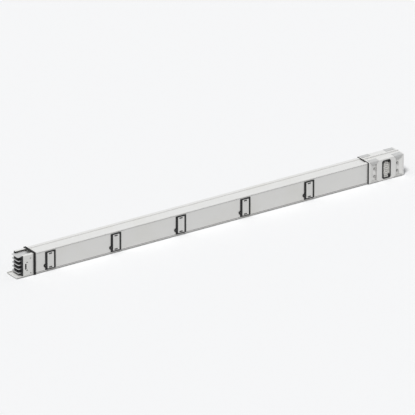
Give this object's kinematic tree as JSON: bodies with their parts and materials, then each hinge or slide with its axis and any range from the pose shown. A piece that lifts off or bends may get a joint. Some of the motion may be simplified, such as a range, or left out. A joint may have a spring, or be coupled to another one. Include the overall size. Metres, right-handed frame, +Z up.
{
  "type": "busway section",
  "caption": "Straight plug-in busbar trunking section with bare bar ends, a sealing collar, hinged tap-off outlets on both sides and a bolted joint box.",
  "frame": {"origin": "bottom centre of the section as it lies level on its joint clips and gasket", "axes": "+X from the plug end to the joint box, -Y towards the front face, +Z up"},
  "size_m": [3, 0.131, 0.1585],
  "materials": {
    "casing_paint": "satin powder coat",
    "cover_paint": "satin powder coat",
    "clip_paint": "satin powder coat",
    "bar_metal": "satin",
    "earth_metal": "satin",
    "insulation": "matte moulded",
    "seal_rubber": "matte",
    "zinc_steel": "zinc plated",
    "carrier_plastic": "matte moulded",
    "jaw_metal": "silver plated",
    "outlet_plastic": "matte moulded",
    "block_plastic": "matte moulded",
    "door_plastic": "satin moulded"
  },
  "bodies": {
    "section": {"side_channel_front": "casing_paint", "side_channel_rear": "casing_paint", "top_tray": "casing_paint", "bottom_tray": "casing_paint", "phase_bar_1": "bar_metal", "phase_bar_2": "bar_metal", "phase_bar_3": "bar_metal", "neutral_bar": "bar_metal", "earth_bar": "earth_metal", "bar_supports": "insulation", "end_comb": "insulation", "end_gasket": "seal_rubber", "entry_seal": "seal_rubber", "joint_cover_front": "cover_paint", "joint_cover_rear": "cover_paint", "joint_clips": "clip_paint", "joint_bolts_front": "zinc_steel", "joint_bolts_rear": "zinc_steel", "window_bezels": "seal_rubber", "contact_carrier": "carrier_plastic", "jaw_rivets": "zinc_steel", "contact_jaw_1": "jaw_metal", "contact_jaw_2": "jaw_metal", "contact_jaw_3": "jaw_metal", "contact_jaw_4": "jaw_metal", "contact_jaw_5": "jaw_metal", "outlet_frame_front_1": "outlet_plastic", "contact_block_front_1": "block_plastic", "outlet_frame_front_2": "outlet_plastic", "contact_block_front_2": "block_plastic", "outlet_frame_front_3": "outlet_plastic", "contact_block_front_3": "block_plastic", "outlet_frame_front_4": "outlet_plastic", "contact_block_front_4": "block_plastic", "outlet_frame_front_5": "outlet_plastic", "contact_block_front_5": "block_plastic", "outlet_frame_rear_1": "outlet_plastic", "contact_block_rear_1": "block_plastic", "outlet_frame_rear_2": "outlet_plastic", "contact_block_rear_2": "block_plastic", "outlet_frame_rear_3": "outlet_plastic", "contact_block_rear_3": "block_plastic", "outlet_frame_rear_4": "outlet_plastic", "contact_block_rear_4": "block_plastic", "outlet_frame_rear_5": "outlet_plastic", "contact_block_rear_5": "block_plastic"},
    "door_front_1": {"outlet_door_front_1": "door_plastic"},
    "door_front_2": {"outlet_door_front_2": "door_plastic"},
    "door_front_3": {"outlet_door_front_3": "door_plastic"},
    "door_front_4": {"outlet_door_front_4": "door_plastic"},
    "door_front_5": {"outlet_door_front_5": "door_plastic"},
    "door_rear_1": {"outlet_door_rear_1": "door_plastic"},
    "door_rear_2": {"outlet_door_rear_2": "door_plastic"},
    "door_rear_3": {"outlet_door_rear_3": "door_plastic"},
    "door_rear_4": {"outlet_door_rear_4": "door_plastic"},
    "door_rear_5": {"outlet_door_rear_5": "door_plastic"}
  },
  "joints": [
    {"name": "door_front_1_hinge", "type": "hinge", "parent": "section", "child": "door_front_1", "pos_m": [-1.2232, -0.06, 0.075], "axis": [0, 0, 1], "range_deg": [0, 120]},
    {"name": "door_front_2_hinge", "type": "hinge", "parent": "section", "child": "door_front_2", "pos_m": [-0.7232, -0.06, 0.075], "axis": [0, 0, 1], "range_deg": [0, 120]},
    {"name": "door_front_3_hinge", "type": "hinge", "parent": "section", "child": "door_front_3", "pos_m": [-0.2232, -0.06, 0.075], "axis": [0, 0, 1], "range_deg": [0, 120]},
    {"name": "door_front_4_hinge", "type": "hinge", "parent": "section", "child": "door_front_4", "pos_m": [0.2768, -0.06, 0.075], "axis": [0, 0, 1], "range_deg": [0, 120]},
    {"name": "door_front_5_hinge", "type": "hinge", "parent": "section", "child": "door_front_5", "pos_m": [0.7768, -0.06, 0.075], "axis": [0, 0, 1], "range_deg": [0, 120]},
    {"name": "door_rear_1_hinge", "type": "hinge", "parent": "section", "child": "door_rear_1", "pos_m": [-1.2648, 0.06, 0.075], "axis": [0, 0, 1], "range_deg": [0, 120]},
    {"name": "door_rear_2_hinge", "type": "hinge", "parent": "section", "child": "door_rear_2", "pos_m": [-0.7648, 0.06, 0.075], "axis": [0, 0, 1], "range_deg": [0, 120]},
    {"name": "door_rear_3_hinge", "type": "hinge", "parent": "section", "child": "door_rear_3", "pos_m": [-0.2648, 0.06, 0.075], "axis": [0, 0, 1], "range_deg": [0, 120]},
    {"name": "door_rear_4_hinge", "type": "hinge", "parent": "section", "child": "door_rear_4", "pos_m": [0.2352, 0.06, 0.075], "axis": [0, 0, 1], "range_deg": [0, 120]},
    {"name": "door_rear_5_hinge", "type": "hinge", "parent": "section", "child": "door_rear_5", "pos_m": [0.7352, 0.06, 0.075], "axis": [0, 0, 1], "range_deg": [0, 120]}
  ]
}
